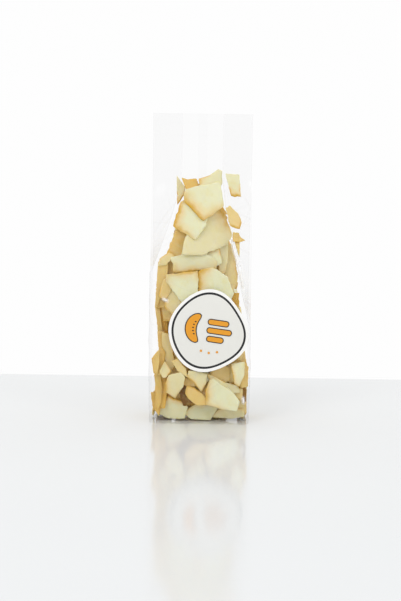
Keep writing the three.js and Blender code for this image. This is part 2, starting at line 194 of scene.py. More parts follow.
# The tube starts as a flat grid, and each of its points moves to where the folded film lies.
bpy.ops.object.select_all(action="DESELECT")
bpy.ops.mesh.primitive_grid_add(x_subdivisions=COLUMNS_AT[-1], y_subdivisions=ROWS_AT[-1], size=1)
film = bpy.context.object
film.name = film.data.name = "film"
flat = np.empty(len(film.data.vertices) * 3)
film.data.vertices.foreach_get("co", flat)
flat = flat.reshape(-1, 3)
around = np.interp((flat[:, 0] + 0.5) * COLUMNS_AT[-1], COLUMNS_AT, ROUND_THE_BAG)
up = np.interp((flat[:, 1] + 0.5) * ROWS_AT[-1], ROWS_AT, UP_THE_BAG)
x, y = film_place(around, up)
x_ahead, y_ahead = film_place(np.minimum(around + 0.5, ROUND_THE_BAG[-1]), up)
x_behind, y_behind = film_place(np.maximum(around - 0.5, 0), up)
along_x, along_y = x_ahead - x_behind, y_ahead - y_behind
length = np.hypot(along_x, along_y) + 1e-9
out_x, out_y = along_y / length, -along_x / length
under_label = (y < 0) & (np.hypot(x - LABEL_CENTRE[0], up - LABEL_CENTRE[1]) < LABEL_FLAT)
limp = 1 - smooth((up - DENTED_UP_TO) / DENTS_FADE)
near_corner = np.min([np.abs(around - s) for s in ROUND_THE_BAG[1:-1]], axis=0)
dents, painted_highlight = crumpled(around, up)
dents *= limp * smooth(near_corner / CORNER_STIFFNESS) * np.where(under_label, UNDER_LABEL, 1)
painted_highlight *= limp
# Painted highlight along the creases, and at full strength along the glint lines on the front.
gusset_creases = {2: SHOULDER_LEFT, 5: SHOULDER_RIGHT}
for number, crease in enumerate(ROUND_THE_BAG[1:-1], 1):
    strength = GUSSET_HIGHLIGHT if number in gusset_creases else CORNER_HIGHLIGHT
    line = np.exp(-(((around - crease) / HIGHLIGHT_WIDTH) ** 2))
    painted_highlight += strength * line * smooth((up - gusset_creases.get(number, 0)) / HIGHLIGHT_FADE)
for start, end in FRONT_GLINT_STREAKS:
    painted_highlight += (y < 0) * near_streak(x, up, start, end)
x, y = x + out_x * dents, y + out_y * dents
seal = sum(h * np.exp(-(((up - z) / SEAL_LINE_WIDTH) ** 2)) for z, h in SEAL_LINES.items())
y = y + seal * smooth((up - HEADER_START) / SEAL_FADE)
place = np.stack([x, y + MIDDLE_Y, up], -1) * MM
film.data.vertices.foreach_set("co", place.astype(np.float32).ravel())
film.data.update()
film.data.shade_smooth()
film.data.set_sharp_from_angle(angle=SHARP_FROM)
attribute = film.data.attributes.new("painted_highlight", "FLOAT", "POINT")
attribute.data.foreach_set("value", np.clip(painted_highlight, 0, 1).astype(np.float32))


def linear(hex_colour):
    """An sRGB hex colour as the linear values that nodes take."""
    values = [int(hex_colour[i : i + 2], 16) / 255 for i in (1, 3, 5)]
    return (*[v / 12.92 if v <= 0.04045 else ((v + 0.055) / 1.055) ** 2.4 for v in values], 1.0)


def add_node(owner, kind, settings=None, links=None):
    """Adds a node. A setting is a property by its name or an input by its name or number, and a link
    is an input by its name or number and the output that feeds it."""
    node = owner.node_tree.nodes.new("ShaderNode" + kind)
    for key, value in (settings or {}).items():
        if isinstance(key, str) and hasattr(node, key):
            setattr(node, key, value)
        else:
            node.inputs[key].default_value = value
    for key, output in (links or {}).items():
        owner.node_tree.links.new(output, node.inputs[key])
    return node


def new_material(name):
    material = bpy.data.materials.new(name)
    material.use_nodes = True
    material.node_tree.nodes.clear()
    return material


# Cast polypropylene, glossy and clear: it passes nearly all light and mirrors a little, and more towards a
# grazing view. A white matt layer mixed in along its creases, dent ridges and a few lines on the front is
# painted highlight, standing for lamps shining in the folds.
CLEAR_FILM = "#fefefe"
FILM_AT_GRAZING = "#fcfcfc"
HIGHLIGHT_WHITE = "#ffffff"
MIRRORED_HEAD_ON = 0.012
MIRRORED_AT_GRAZING = 0.4
FILM_ROUGHNESS = 0.09
plastic = new_material("cast_polypropylene_film")
facing = add_node(plastic, "LayerWeight", {"Blend": 0.5}).outputs["Facing"]
steep = add_node(plastic, "Math", {"operation": "POWER", 1: 5.0}, {0: facing}).outputs[0]
mirrored = add_node(
    plastic, "MapRange", {"To Min": MIRRORED_HEAD_ON, "To Max": MIRRORED_AT_GRAZING}, {"Value": steep}
).outputs[0]
veiled = add_node(plastic, "Math", {"operation": "POWER", 1: 3.0}, {0: facing}).outputs[0]
tint = add_node(
    plastic, "Mix", {"data_type": "RGBA", 6: linear(CLEAR_FILM), 7: linear(FILM_AT_GRAZING)}, {0: veiled}
).outputs[2]
clear = add_node(plastic, "BsdfTransparent", links={"Color": tint}).outputs[0]
gloss = add_node(plastic, "BsdfGlossy", {"Roughness": FILM_ROUGHNESS}).outputs[0]
mixed = add_node(plastic, "MixShader", links={0: mirrored, 1: clear, 2: gloss}).outputs[0]
# Painted highlight: white matt film mixed in as much as the attribute says.
highlight_amount = add_node(plastic, "Attribute", {"attribute_name": "painted_highlight"}).outputs["Fac"]
painted_glint = add_node(plastic, "BsdfDiffuse", {"Color": linear(HIGHLIGHT_WHITE)}).outputs[0]
film_with_highlights = add_node(plastic, "MixShader", links={0: highlight_amount, 1: mixed, 2: painted_glint}).outputs[0]
add_node(plastic, "OutputMaterial", links={"Surface": film_with_highlights})
film.data.materials.append(plastic)

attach(film, "root")
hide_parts("bag")

# The base
# The tube's lower end is folded in from both sides, then the front and back flaps are folded over
# those two triangles and welded where they lap. The bag stands on them.
FLAP_LAP = 8.0
BASE_INSET = 1.5
FLAP_HEIGHTS = {-1: 0.2, 1: 0.42}
FLAP_WAVE = 0.08
FLAP_SUNK = 0.05
TUCK_HEIGHT = 0.62
base_wide, base_deep = BAG_WIDTH - 2 * BASE_INSET, BAG_DEPTH - 2 * BASE_INSET
flap_deep = (base_deep + FLAP_LAP) / 2
flaps = []
for side, height in FLAP_HEIGHTS.items():
    bpy.ops.object.select_all(action="DESELECT")
    bpy.ops.mesh.primitive_grid_add(x_subdivisions=60, y_subdivisions=22, size=1)
    flap = bpy.context.object
    for vertex in flap.data.vertices:
        across = vertex.co.x * base_wide
        deep = vertex.co.y * flap_deep + side * (base_deep - flap_deep) / 2
        lapped = max(0.0, 1 - abs(deep) / (FLAP_LAP / 2)) if side < 0 else 0.0
        wave = FLAP_WAVE * math.sin(across * 0.21 + side) * math.sin(deep * 0.33)
        vertex.co = Vector((across, deep + MIDDLE_Y, height - FLAP_SUNK * lapped + wave)) * MM
    flaps.append(flap)
for side in (-1, 1):
    bpy.ops.object.select_all(action="DESELECT")
    bpy.ops.mesh.primitive_circle_add(vertices=3, radius=1, fill_type="NGON")
    tuck = bpy.context.object
    outer, inner = side * base_wide / 2, side * (base_wide - base_deep) / 2
    corners = [(outer, -base_deep / 2), (outer, base_deep / 2), (inner, 0)]
    for vertex, (across, deep) in zip(tuck.data.vertices, corners):
        vertex.co = Vector((across, deep + MIDDLE_Y, TUCK_HEIGHT)) * MM
    flaps.append(tuck)
for flap in flaps:
    flap.select_set(True)
bpy.context.view_layer.objects.active = flaps[0]
bpy.ops.object.join()
film_base = bpy.context.object
film_base.name = film_base.data.name = "film_base"
film_base.data.materials.append(plastic)
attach(film_base, "root")
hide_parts("bag")

# The slices
# Ripe pale melon, peeled, cut into thin slices and air-dried until they are leathery and 1.4 to 2.1 mm
# thick. Each dried flat or a little curled, pale inside and golden along one side. They lie against the
# film and one another, and the bag holds them.
SLICE_THICKNESS = 1.7
CORNER_ROUND = 0.025
EDGE_RIPPLE = 0.011
BEND = 1.1
TWIST = 0.7
LIFTED_CORNER = 1.6
EDGE_ROUND = 0.06
RIM_AT = 0.88
RIM_WIDTH = 0.07
RIM_SWOLLEN = 0.08
FRONT_LEAN = 5.0

# The slices that show at the front, each before the ones that it hides. Each row has how far the colour has
# turned, 0 pale, 1 tan, 2 golden, 3 brown, the side that dried golden, in degrees from the right, and the
# corners as seen from the front, across and up. That colour is partly the flesh's own and partly painted
# shade: slices that lie deeper or in shadow are given tan or golden, and the brown ones are partly painted
# deep shade in the darkest gaps.
FRONT_SLICES = [
    (0.15, 270, [(23, 251), (37, 250), (39, 228), (29, 228)]),
    (0.05, 235, [(-17, 235), (14, 242), (19, 239), (22, 218), (2, 203), (-18, 222)]),
    (0.2, 180, [(-4, 245), (6, 248), (16, 255), (20, 253), (20, 239), (-2, 235)]),
    (1.6, 270, [(-21, 247), (-15, 244), (-6, 245), (-3, 238), (-8, 234), (-16, 233)]),
    (0.0, 180, [(-21, 222), (-14, 224), (6, 206), (4, 198), (-6, 184), (-29, 198)]),
    (1.0, 300, [(24, 216), (28, 219), (37, 210), (40, 202), (38, 196), (28, 199)]),
    (1.3, 240, [(31, 193), (37, 192), (39, 188), (44, 185), (38, 183), (31, 183)]),
    (0.35, 70, [(-2, 209), (17, 219), (22, 212), (31, 191), (27, 180), (1, 169), (-21, 169), (-16, 187)]),
    (0.0, 90, [(-34, 150), (-3, 155), (-2, 126), (-18, 122), (-35, 143)]),
    (0.0, 180, [(-3, 154), (8, 158), (16, 156), (27, 148), (33, 132), (30, 122), (-3, 122)]),
    (0.1, 260, [(-30, 167), (-20, 170), (4, 172), (17, 163), (16, 156), (-27, 151)]),
    (0.4, 200, [(-31, 50), (-19, 53), (-14, 49), (-16, 38), (-24, 26), (-33, 32), (-34, 41)]),
    (0.4, 225, [(-11, 55), (0, 54), (8, 51), (7, 42), (2, 33), (-6, 43), (-13, 49)]),
    (0.0, 190, [(10, 45), (14, 47), (23, 40), (32, 35), (41, 24), (38, 14), (26, 15), (7, 20), (6, 33)]),
    (0.15, 190, [(31, 62), (45, 64), (45, 51), (40, 39), (35, 42)]),
    (0.35, 90, [(6, 52), (12, 50), (27, 42), (40, 38), (42, 31), (30, 31), (22, 37), (10, 45)]),
    (1.1, 120, [(10, 52), (22, 60), (30, 58), (31, 43), (26, 41), (12, 49)]),
    (0.9, 0, [(28, 60), (34, 61), (36, 42), (30, 38)]),
    (0.5, 0, [(-35, 64), (-28, 54), (-33, 47), (-37, 47), (-40, 53)]),
    (0.9, 45, [(-28, 64), (-22, 67), (-13, 56), (-12, 48), (-22, 54)]),
    (0.1, 225, [(-12, 58), (8, 54), (12, 45), (5, 40), (-3, 47)]),
    (1.35, 180, [(-48, 66), (-43, 73), (-40, 76), (-40, 62), (-42, 50), (-46, 51)]),
    (1.5, 0, [(-42, 74), (-37, 76), (-34, 72), (-36, 60), (-38, 48), (-43, 49), (-42, 62)]),
    (1.45, 180, [(-46, 50), (-42, 53), (-39, 50), (-37, 36), (-38, 20), (-42, 12), (-44, 18), (-44, 38)]),
    (1.75, 0, [(-41, 52), (-34, 50), (-32, 33), (-34, 14), (-39, 13), (-39, 30)]),
    (1.55, 200, [(-49, 31), (-43, 29), (-37, 23), (-40, 5), (-47, 15)]),
    (0.85, 0, [(-38, 93), (-31, 91), (-27, 76), (-24, 59), (-29, 51), (-35, 64), (-38, 80)]),
    (1.35, 0, [(-33, 92), (-24, 82), (-19, 67), (-25, 55), (-31, 74)]),
    (1.1, 90, [(-32, 57), (-26, 61), (-20, 55), (-21, 46), (-30, 47)]),
    (1.4, 180, [(-43, 92), (-36, 92), (-33, 72), (-41, 70)]),
    (1.1, 200, [(-38, 144), (-34, 147), (-29, 134), (-32, 128), (-36, 124), (-42, 128)]),
    (0.6, 200, [(-33, 142), (-15, 127), (-25, 108), (-36, 116)]),
    (0.7, 90, [(-31, 173), (-26, 168), (-35, 159), (-43, 158), (-41, 166)]),
    (1.25, 180, [(-43, 163), (-33, 163), (-33, 148), (-38, 132), (-44, 113), (-46, 115), (-45, 126)]),
    (1.3, 200, [(-45, 130), (-37, 130), (-30, 124), (-33, 117), (-44, 114)]),
    (1.25, 300, [(-40, 121), (-33, 121), (-26, 112), (-28, 101), (-37, 102)]),
    (1.3, 180, [(-46, 117), (-41, 117), (-39, 100), (-36, 82), (-41, 76), (-44, 103)]),
    (1.9, 180, [(-44, 118), (-37, 118), (-33, 103), (-32, 87), (-40, 86), (-43, 109)]),
    (1.0, 0, [(-36, 106), (-28, 104), (-28, 88), (-35, 83)]),
    (1.4, 270, [(-24, 196), (-12, 190), (-15, 165), (-29, 164), (-34, 171), (-31, 181)]),
    (1.45, 270, [(-38, 167), (-26, 168), (-26, 146), (-38, 143)]),
    (1.3, 100, [(-14, 31), (-13, 39), (-5, 37), (3, 31), (8, 26), (8, 20), (-2, 19), (-11, 26)]),
    (1.35, 270, [(-19, 47), (-4, 46), (-2, 38), (-10, 37), (-18, 40)]),
    (2.9, 0, [(-20, 42), (-8, 42), (-4, 36), (-5, 18), (-16, 17), (-20, 30)]),
    (0.8, 250, [(24, 38), (35, 35), (44, 35), (44, 24), (31, 25)]),
    (1.3, 0, [(43, 66), (49, 58), (49, 38), (41, 37), (43, 52)]),
    (2.8, 0, [(42, 38), (46, 39), (48, 33), (48, 21), (44, 21), (42, 29)]),
    (0.05, 90, [(3, 170), (18, 179), (21, 161), (15, 158)]),
    (0.35, 200, [(15, 178), (27, 182), (27, 165), (24, 150), (18, 150)]),
    (0.75, 0, [(23, 182), (32, 180), (37, 150), (37, 142), (31, 128), (23, 146)]),
    (1.1, 0, [(33, 183), (38, 183), (38, 167)]),
    (0.35, 270, [(-26, 248), (-17, 236), (-18, 229), (-25, 218)]),
    (0.15, 90, [(-46, 10), (-31, 27), (-26, 24), (-18, 22), (-11, 16), (-14, 3), (-32, 2)]),
    (0.05, 90, [(-17, 9), (-2, 20), (22, 18), (12, 1), (-8, 2)]),
    (0.3, 90, [(11, 4), (24, 16), (45, 13), (47, 5), (33, 2)]),
    (0.8, 0, [(37, 24), (47, 29), (49, 8), (39, 9)]),
]

# The filling's outline from the front: its left and right edge at each height.
EDGE_HEIGHTS = [0, 31, 38, 48, 65, 78, 98, 124, 150, 164, 169, 179, 197, 212, 219, 226, 250]
LEFT_EDGE = [-48, -47, -43, -44, -46, -39, -42, -44, -42, -40, -36, -30, -28, -25, -22, -19, -16]
RIGHT_EDGE = [49, 49, 49, 49, 48, 44, 43, 39, 37, 37, 37, 30, 28, 25, 20, 19, 18]
FILLING_TOP = 244
HOLE_ACROSS = (-18, -7)
HOLE_UP = (23, 41)
HOLE_DEPTH = 14

# Room for a slice is looked for on a grid. Slices give way where they touch, so one counts there with a
# share of its thickness only. The points on it are few where it is tried and close once it lies.
VOXEL = 1.0
GRID_LOW = np.array([-53.0, -36.0, 0.0])
GRID_SHAPE = (106, 72, 256)
PRESSED = 0.4
POINTS_TRIED = 180
POINTS_LAID = 2200
FILM_SLACK = 0.4
FILM_CLEAR = 0.3

random = np.random.default_rng(24)


class Slice:
    """A slice's outline, thickness, curl and colour, in its own frame: across, up and outwards."""

    def __init__(self, corners, browning_and_shade=None, golden_side=None, curl=1.0):
        corners = np.array(corners, float)
        corners -= corners.mean(0)
        turns = np.arctan2(corners[:, 1], corners[:, 0]) % (2 * math.pi)
        corners, self.corner_angles = corners[np.argsort(turns)], np.sort(turns)
        along = np.roll(corners, -1, 0) - corners
        normals = np.stack([along[:, 1], -along[:, 0]], 1) / np.hypot(*along.T)[:, None]
        self.edges = np.arctan2(normals[:, 1], normals[:, 0])
        self.apothems = np.maximum((normals * corners).sum(1), 0.4)
        self.size = np.hypot(*corners.T).mean()
        waves = random.integers(4, 19, 4)
        height = EDGE_RIPPLE * self.size * random.uniform(0.5, 1.6)
        self.ripple = height, random.uniform(0, 2 * math.pi, 4), waves
        self.thickness = SLICE_THICKNESS * random.uniform(0.8, 1.25)
        self.bend = curl * random.normal(0, BEND), random.uniform(0, math.pi)
        self.twist = curl * random.normal(0, TWIST)
        self.lift = curl * random.uniform(0, LIFTED_CORNER), random.uniform(0, 2 * math.pi)
        self.browning_and_shade = random.uniform(0, 1) if browning_and_shade is None else browning_and_shade
        self.golden = random.uniform(0.6, 1.2)
        self.golden_side = random.uniform(0, 360) if golden_side is None else golden_side

    def flat(self, share, angle):
        """Across and up, for a share of the way from the middle to the edge in each direction."""
        around = angle[..., None] + CORNER_ROUND * np.array([-1, 0, 1])
        edge = np.searchsorted(self.corner_angles, around % (2 * math.pi)) - 1
        facing = np.cos(around - self.edges[edge]) / self.apothems[edge]
        radius = 1 / np.maximum(facing, 0.02).mean(-1)
        height, phases, counts = self.ripple
        radius = radius + height * sum(np.cos(n * angle + p) for n, p in zip(counts, phases))
        return radius * share * np.cos(angle), radius * share * np.sin(angle)

    def curled(self, across, up):
        """How far the slice's middle layer stands out of its own plane."""
        a, b = across / self.size, up / self.size
        bend, direction = self.bend
        along = a * math.cos(direction) + b * math.sin(direction)
        lift, side = self.lift
        towards = np.maximum(a * math.cos(side) + b * math.sin(side), 0)
        ripple = 0.25 * np.sin(5 * a + self.lift[1]) * np.cos(4 * b + self.bend[1])
        return bend * (along**2 - 0.3) + self.twist * a * b + lift * towards**3 + ripple

    def half_thickness(self, share):
        """Thickest just inside the edge, where the slice shrank least, and round at the edge."""
        edge = np.sqrt(np.clip(1 - ((share - 1 + EDGE_ROUND) / EDGE_ROUND).clip(0, 1) ** 2, 0, 1))
        rim = 1 + RIM_SWOLLEN * np.exp(-(((share - RIM_AT) / RIM_WIDTH) ** 2))
        return self.thickness / 2 * rim * edge

    def golden_at(self, angle):
        """How golden the slice dried along its edge in each direction."""
        from_side = angle - math.radians(self.golden_side)
        broad = self.golden * (0.1 + 0.9 * np.cos(from_side))
        return np.clip(broad + 0.2 * np.cos(3 * from_side + 1) + 0.05, 0, 1)


def rough_slice(size, browning_and_shade=None, curl=1.0):
    """A slice as it comes from the knife: 3 to 6 corners, unevenly spaced."""
    wide, tall = random.uniform(*size), random.uniform(*size)
    count = random.choice([3, 4, 4, 4, 5, 5, 6])
    start = math.pi / 2 + (0 if count % 2 else math.pi / count)
    angles = start + 2 * math.pi * (np.arange(count) + random.uniform(-0.16, 0.16, count)) / count
    reach = random.uniform(0.85, 1.15, count) * (1.25 if count < 5 else 1.08)
    corners = np.stack([np.cos(angles) * reach * wide / 2, np.sin(angles) * reach * tall / 2], 1)
    return Slice(corners, browning_and_shade, curl=curl)


# Everything outside the bag counts as taken, and so does each slice once it lies in place.
gx, gy, gz = np.meshgrid(
    *[low + VOXEL * (np.arange(n) + 0.5) for low, n in zip(GRID_LOW, GRID_SHAPE)], indexing="ij"
)
shoulder = np.where(gx < 0, SHOULDER_LEFT, SHOULDER_RIGHT)
taken = (np.abs(gy) > panel_depth(gx, gz) + FILM_SLACK) | (gz > HEADER_START)
taken |= np.abs(gx) > gusset_reach(gy, gz, shoulder) + FILM_SLACK
filled = np.zeros(GRID_SHAPE, bool)
laid = []


def voxel_of(points):
    index = np.floor((points - GRID_LOW) / VOXEL).astype(np.int32)
    inside = ((index >= 0) & (index < GRID_SHAPE)).all(-1)
    return np.where(inside[..., None], index, 0), inside


def solid_points(piece, count):
    """Evenly spread points on both faces of a slice and between them."""
    golden_angle = math.pi * (3 - math.sqrt(5))
    k = np.arange(count) + 0.5
    across, up = piece.flat(np.sqrt(k / count), k * golden_angle)
    middle = piece.curled(across, up)
    half = piece.thickness / 2 * PRESSED
    return np.concatenate([np.stack([across, up, middle + half * side], -1) for side in (-1, 0, 1)])


def tipped(basis, about_across, about_up, about_out):
    """The basis tipped and turned about its own axes, by angles in degrees."""
    turn = Matrix.Rotation(math.radians(about_out), 3, "Z")
    upright, level = math.radians(about_up), math.radians(about_across)
    tip = Matrix.Rotation(upright, 3, "Y") @ Matrix.Rotation(level, 3, "X")
    return basis @ np.array(tip @ turn)


def settle(piece, centre, basis, direction, tilts, reach, shown, step=0.8):
    """Lays a slice where it first finds room, at the tilt that lets it lie closest."""
    steps = np.arange(0, reach, step)
    points = solid_points(piece, POINTS_TRIED)
    chosen = None
    for tilt in tilts:
        tried = tipped(basis, *tilt)
        moved = (centre + points @ tried.T)[None] + direction * steps[:, None, None]
        index, inside = voxel_of(moved)
        blocked = (taken[index[..., 0], index[..., 1], index[..., 2]] | ~inside).any(1)
        if not blocked.all():
            nearest = int(np.argmin(blocked))
            chosen = centre + direction * steps[nearest], tried
            steps = steps[:nearest]
        if len(steps) == 0:
            break
    if chosen is None:
        return False
    place, basis = chosen
    index, inside = voxel_of(place + solid_points(piece, POINTS_LAID) @ basis.T)
    for grid in (taken, filled):
        grid[tuple(index[inside].T)] = True
    laid.append((piece, place, basis, shown))
    return True


def face_basis(face, across, z):
    """A place on the film and the directions across, up and outwards there."""

    def at(a, b):
        if face in ("front", "back"):
            side = -1 if face == "front" else 1
            return np.array([-side * a, side * panel_depth(-side * a, b), b])
        side, shoulder = (1, SHOULDER_RIGHT) if face == "right" else (-1, SHOULDER_LEFT)
        return np.array([side * gusset_reach(side * a, b, shoulder), side * a, b])

    sideways = at(across + 1, z) - at(across - 1, z)
    upright = at(across, z + 1) - at(across, z - 1)
    sideways /= np.linalg.norm(sideways)
    outward = np.cross(sideways, upright)
    outward /= np.linalg.norm(outward)
    return at(across, z), np.stack([sideways, np.cross(outward, sideways), outward], 1)


# Each leans its own way, or less where there is no room for that, and is cut so that it shows its corners
# where they are given. What comes later in the list lies behind it.
BACKWARDS = np.array([0.0, 1.0, 0.0])
for browning_and_shade, golden_side, corners in FRONT_SLICES:
    middle = np.mean(corners, 0)
    place, basis = face_basis("front", *middle)
    for share in (1, 0.6, 0.3, 0):
        leaning = tipped(basis, *random.normal(0, FRONT_LEAN, 2) * share, 0)
        seen = leaning[[0, 2], :2]
        cut = [np.linalg.solve(seen, np.array(corner) - middle) for corner in corners]
        piece = Slice(cut, browning_and_shade, golden_side, share)
        if settle(piece, place - BACKWARDS * 0.5, leaning, BACKWARDS, [(0, 0, 0)], 30, True, 0.4):
            break
    nearest = np.where(filled.any(1), np.argmax(filled, 1), 0)
    taken |= np.arange(GRID_SHAPE[1])[None, :, None] < nearest[:, None, :]

# From here on nothing lies outside the filling's outline or in the dark hole.
left_edge, right_edge = np.interp(gz, EDGE_HEIGHTS, LEFT_EDGE), np.interp(gz, EDGE_HEIGHTS, RIGHT_EDGE)
taken |= (gx < left_edge) | (gx > right_edge) | (gz > FILLING_TOP)
hole = (gx > HOLE_ACROSS[0]) & (gx < HOLE_ACROSS[1]) & (gz > HOLE_UP[0]) & (gz < HOLE_UP[1])
taken |= hole & (gy < HOLE_DEPTH - BAG_DEPTH / 2)

# What has to be filled, seen from a side and from the front, so that nothing shows through it.
within = (gz > 4) & (gz < FILLING_TOP - 8) & (np.abs(gy) < panel_depth(gx, gz) - 2)
within &= (gx > left_edge + 1) & (gx < right_edge - 1)
columns = [within.any(axis) for axis in (0, 1)]


def lay_against(face, piece, across, z, lean, turn, tip, reach):
    """Lays a slice against the film, leaning and turned by chance, as close as it goes."""
    place, basis = face_basis(face, across, z)
    outward = basis[:, 2]
    lean, turn = random.normal(0, lean), random.uniform(-turn, turn)
    tilts = [(a, lean + b, turn) for a in (0, -tip, tip) for b in (0, -tip, tip)]
    start = place - outward * (piece.thickness / 2 - 1)
    settle(piece, start, basis, -outward, tilts, reach, False)


def lay_rows(face, rows, places, scatter, size, browning_and_shade, curl, lean, turn, tip, reach):
    """Lays a slice near each place across in each row."""
    for z in rows:
        for across in places:
            piece = rough_slice(size, random.uniform(*browning_and_shade) if browning_and_shade else None, curl)
            place = across + random.normal(0, scatter), z + random.normal(0, scatter)
            lay_against(face, piece, *place, lean, turn, tip, reach)


def close_gaps(face, tries, size, lean, reach):
    """Lays slices where one could see through the filling from that side, golden as painted shade deep in the
    gaps.
    """
    axis = 1 if face == "front" else 0
    for _ in range(tries):
        bare = np.argwhere(columns[axis] & ~filled.any(axis))
        if len(bare) == 0:
            return
        column = bare[random.integers(len(bare))] + 0.5
        spot = GRID_LOW[[1 - axis, 2]] + VOXEL * column + random.normal(0, 2, 2)
        across = spot[0] * (-1 if face == "left" else 1)
        piece = rough_slice(size, random.uniform(1.1, 1.9), 0.8)
        lay_against(face, piece, across, spot[1], lean, 90, 12, reach)


# The gaps in the front are backed first, with golden slices whose colour is painted shade: the warm golden
# shade deep between the slices. Then the sides and the back are covered with slices that lie nearly flat
# against the film, the middle is filled with slices that stand every way, and small golden ones close what is
# still open.
close_gaps("front", 150, (16, 30), 6, 40)
for lean in (6, 14, 28):
    for face in ("left", "right"):
        lay_rows(
            face, rows=range(10, 232, 14), places=(-18, 0, 18), scatter=4, size=(18, 32),
            browning_and_shade=(0.2, 1.6), curl=1.2, lean=lean, turn=35, tip=8, reach=8 + lean,
        )
for face in ("left", "right"):
    close_gaps(face, 60, (12, 24), 10, 50)
for lean in (5, 14):
    lay_rows(
        "back", rows=range(12, 240, 17), places=range(-38, 39, 19), scatter=4, size=(22, 36),
        browning_and_shade=None, curl=1.0, lean=lean, turn=45, tip=8, reach=8 + lean,
    )
# The deeper front layers are tan to golden, as painted shade deep in the filling.
for layer, lean in enumerate((5, 18, 30, 45, 45, 45)):
    lay_rows(
        "front", rows=range(12, 240, 18), places=range(-38, 39, 19), scatter=6, size=(20, 36),
        browning_and_shade=(0.9, 1.8), curl=0.5 if layer < 1 else 1.4, lean=lean, turn=45, tip=12, reach=12 + 10 * layer,
    )
for size in ((14, 24), (8, 14)):
    close_gaps("front", 180, size, 20, 55)
    close_gaps("right", 30, size, 20, 70)

# Each slice's mesh is rings of points from its middle to its edge on both faces. The slices that show
# have more of them.
ANGLES_SHOWN = 48
ANGLES_HIDDEN = 24
RINGS_SHOWN = (0.3, 0.58, 0.8, 0.94, 0.985)
RINGS_HIDDEN = (0.55, 0.97)
LOWEST = 0.7


def pressed_inside(points, step, rings, count):
    """The film presses a slice that would stand through it back in, without making it thinner."""
    pushed = points.copy()
    x, y, z = points.T
    shoulder = np.where(x < 0, SHOULDER_LEFT, SHOULDER_RIGHT)
    over_y = np.maximum(np.abs(y) + FILM_CLEAR - panel_depth(x, z), 0)
    over_x = np.maximum(np.abs(x) + FILM_CLEAR - gusset_reach(y, z, shoulder), 0)
    last_ring = slice((rings - 1) * count, rings * count)
    for axis, over, value in ((1, over_y, y), (0, over_x, x)):
        both = np.maximum(over[:step], over[step : 2 * step])
        rim = np.maximum(over[2 * step :], both[last_ring])
        both[last_ring] = rim
        pushed[:, axis] -= np.sign(value) * np.concatenate([both, both, rim])
    pushed[:, 2] = np.maximum(pushed[:, 2], LOWEST)
    return pushed


def slice_mesh(piece, place, basis, shown):
    """Points, faces and, for each point, its share of the way to the edge and how golden that edge is."""
    count = ANGLES_SHOWN if shown else ANGLES_HIDDEN
    shares = np.array(RINGS_SHOWN if shown else RINGS_HIDDEN)
    angles = 2 * math.pi * np.arange(count) / count
    angles[np.round(piece.corner_angles / (2 * math.pi) * count).astype(int) % count] = piece.corner_angles
    share, angle = np.meshgrid(np.append(shares, 1.0), angles, indexing="ij")
    share, angle = np.append(share.ravel(), 0.0), np.append(angle.ravel(), 0.0)
    across, up = piece.flat(share, angle)
    middle = piece.curled(across, up)
    half = piece.half_thickness(share)
    rings = len(shares)
    centre = rings * count
    inner = np.r_[0:centre, centre + count]
    edge = np.r_[centre : centre + count]
    top = np.stack([across, up, middle + half], -1)[inner]
    bottom = np.stack([across, up, middle - half], -1)[inner]
    outer_edge = np.stack([across, up, middle], -1)[edge]
    points = place + np.concatenate([top, bottom, outer_edge]) @ basis.T
    step = len(inner)
    points = pressed_inside(points, step, rings, count)
    last = (rings - 1) * count
    faces = []
    for k in range(count):
        j = (k + 1) % count
        faces.append((k, j, centre))
        faces.append((step + j, step + k, step + centre))
        for ring in range(rings - 1):
            a, b, c, d = ring * count + k, (ring + 1) * count + k, (ring + 1) * count + j, ring * count + j
            faces.append((a, b, c, d))
            faces.append((step + a, step + d, step + c, step + b))
        faces.append((last + k, 2 * step + k, 2 * step + j, last + j))
        faces.append((step + last + k, step + last + j, 2 * step + j, 2 * step + k))
    whole = np.r_[inner, inner, edge]
    return points, faces, share[whole], piece.golden_at(angle[whole])


points, faces, shares, goldens, colours = [], [], [], [], []
offset = 0
for piece, place, basis, shown in laid:
    new_points, new_faces, new_shares, new_goldens = slice_mesh(piece, place, basis, shown)
    points.append(new_points)
    faces.extend([tuple(i + offset for i in face) for face in new_faces])
    shares.append(new_shares)
    goldens.append(new_goldens)
    colours.append(np.full(len(new_points), piece.browning_and_shade))
    offset += len(new_points)
points = np.concatenate(points)
points[:, 1] += MIDDLE_Y

mesh = bpy.data.meshes.new("melon_slices")
mesh.from_pydata((points * MM).tolist(), [], faces)
mesh.shade_smooth()
for name, values in (("to_edge", shares), ("golden", goldens), ("browning_and_shade", colours)):
    attribute = mesh.attributes.new(name, "FLOAT", "POINT")
    attribute.data.foreach_set("value", np.concatenate(values).astype(np.float32))
melon_slices = bpy.data.objects.new("melon_slices", mesh)
bpy.context.scene.collection.objects.link(melon_slices)

# Dried melon flesh: a half-matt, faintly translucent surface with cloudy patches and fine shrunken fibres. It
# is palest in the middle, peachy further out, and golden along the edges that dried hardest. The tan, golden
# and brown set for each slice are partly the flesh's own colour and partly painted shade: warm golden shade
# deep between the slices and dark brown in the deepest gaps.
PALE_FLESH = "#e9e8c3"
TAN_FLESH = "#e7cf8c"
PEACH_FLESH = "#ecd093"
# Golden and brown: partly the flesh's own colour, partly painted shade of the deep gaps.
GOLDEN_FLESH_AND_SHADE = "#ddab2e"
BROWN_FLESH_AND_SHADE = "#74480a"
CLOUDED_FLESH = "#e3d689"
GOLDEN_EDGE = "#d8ab2e"
PATCH = 9.0
FIBRE = 0.7
FIBRE_HEIGHT = 0.3
LIGHT_GOES_IN = 1.2

